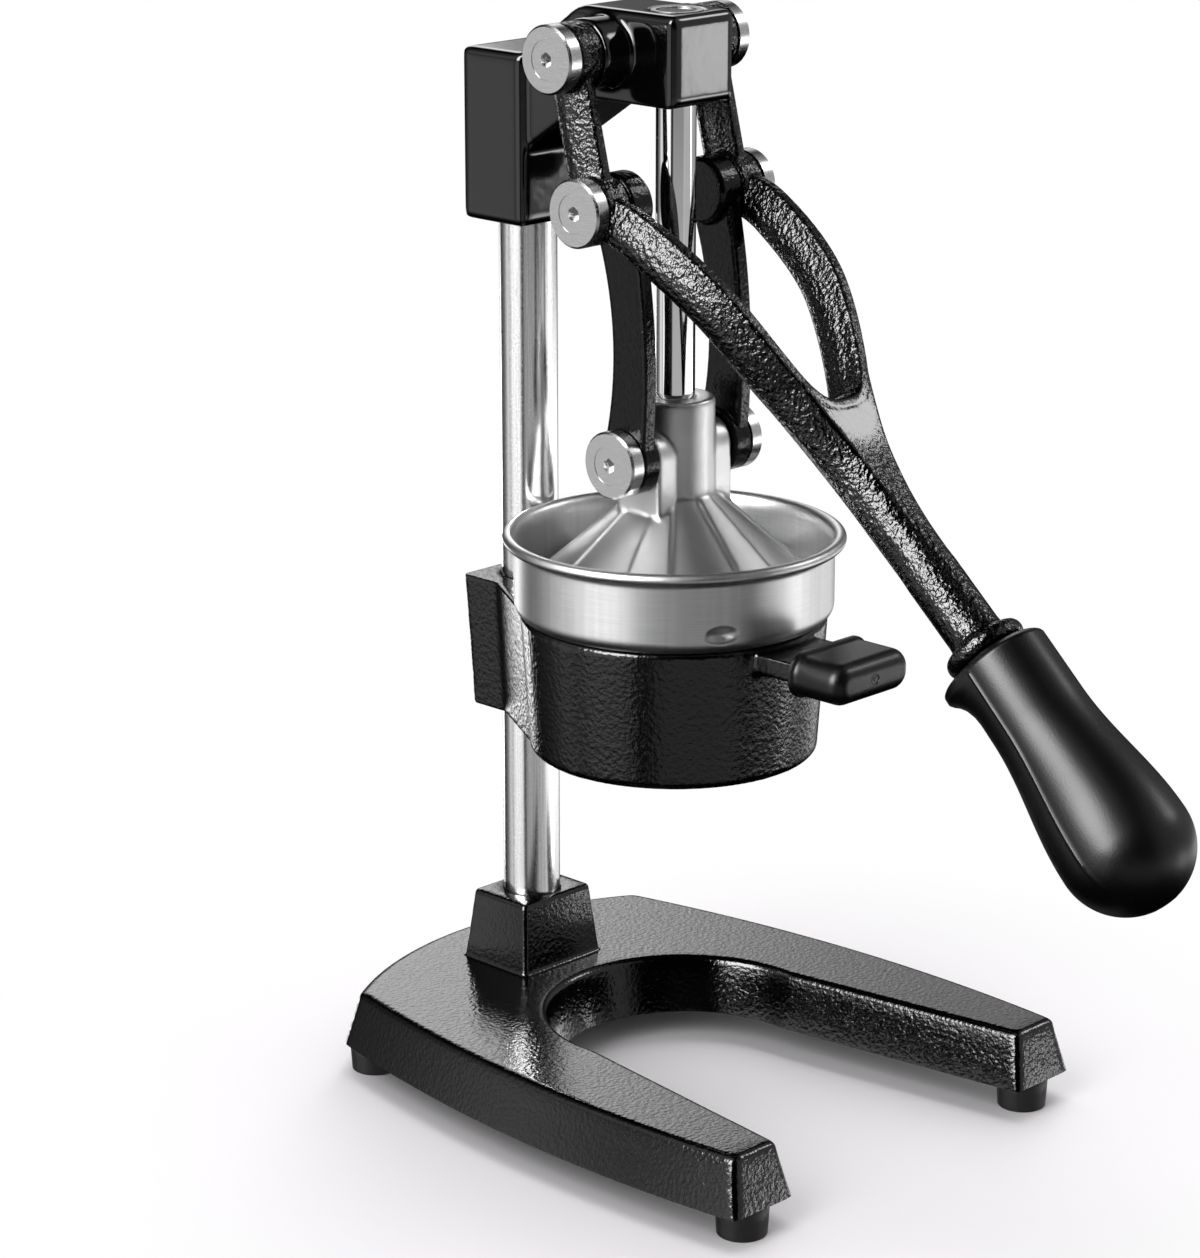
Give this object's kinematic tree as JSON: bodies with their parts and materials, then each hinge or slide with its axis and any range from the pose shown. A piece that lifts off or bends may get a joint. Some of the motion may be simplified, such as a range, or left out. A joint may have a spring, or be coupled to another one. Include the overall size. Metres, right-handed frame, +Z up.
{
  "type": "lever citrus press",
  "caption": "Countertop citrus press: U-shaped cast base, steel column and head; a yoke lever and links push a guided cone into a strainer cup on a bracket.",
  "frame": {"origin": "on the floor under the middle of the whole press with its lever down", "axes": "+Z is up; -Y is the front, where the lever's grip points; +X is to the right of a person who stands behind the column and looks along the lever"},
  "size_m": [0.2012, 0.366, 0.4215],
  "materials": {
    "enamel": "black hammered enamel on cast iron",
    "head_enamel": "smooth gloss black enamel on cast iron",
    "column_steel": "bright drawn steel",
    "rod_chrome": "polished chrome",
    "cap_steel": "turned and brushed steel",
    "hardware_steel": "zinc-plated steel",
    "cup_steel": "brushed stainless steel with a bright rolled rim",
    "press_alloy": "satin cast aluminium",
    "strainer_alloy": "satin cast aluminium",
    "grip_plastic": "black satin plastic",
    "foot_rubber": "black rubber"
  },
  "bodies": {
    "stand": {"base": "enamel", "rubber_feet": "foot_rubber", "foot_screws": "hardware_steel", "column": "column_steel", "column_bolt": "hardware_steel", "column_washer": "hardware_steel", "head": "head_enamel", "head_grub_screws": "hardware_steel", "rod_bush": "hardware_steel", "cup_bracket": "enamel", "bracket_grub_screws": "hardware_steel", "tab_grip": "grip_plastic", "funnel_cup": "cup_steel", "strainer_cone": "strainer_alloy", "fulcrum_sleeves": "hardware_steel", "fulcrum_caps": "cap_steel", "fulcrum_screws": "cap_steel"},
    "press": {"press_cone": "press_alloy", "guide_rod": "rod_chrome", "rod_screw": "hardware_steel", "press_sleeves": "hardware_steel", "press_caps": "cap_steel", "press_screws": "cap_steel"},
    "left_link": {"left_link": "enamel"},
    "right_link": {"right_link": "enamel"},
    "lever": {"lever": "enamel", "elbow_sleeves": "hardware_steel", "elbow_caps": "cap_steel", "elbow_screws": "cap_steel", "lever_grip": "grip_plastic"}
  },
  "joints": [
    {"name": "lever_hinge", "type": "hinge", "parent": "stand", "child": "lever", "pos_m": [0, 0.07756, 0.406], "axis": [-1, 0, 0], "range_deg": [0, 95]},
    {"name": "press_slide", "type": "slide", "parent": "stand", "child": "press", "axis": [0, 0, 1], "range_m": [0, 0.0786]},
    {"name": "left_link_pivot", "type": "hinge", "parent": "press", "child": "left_link", "pos_m": [-0.025, 0.05806, 0.25687], "axis": [1, 0, 0], "range_deg": [0, 24.2]},
    {"name": "right_link_pivot", "type": "hinge", "parent": "press", "child": "right_link", "pos_m": [0.025, 0.05806, 0.25687], "axis": [1, 0, 0], "range_deg": [0, 24.2]}
  ],
  "couplings": [
    {"joint": "press_slide", "follows": "lever_hinge", "m_per_rad": 0.047361},
    {"joint": "left_link_pivot", "follows": "lever_hinge", "ratio": 0.254},
    {"joint": "right_link_pivot", "follows": "lever_hinge", "ratio": 0.254}
  ]
}
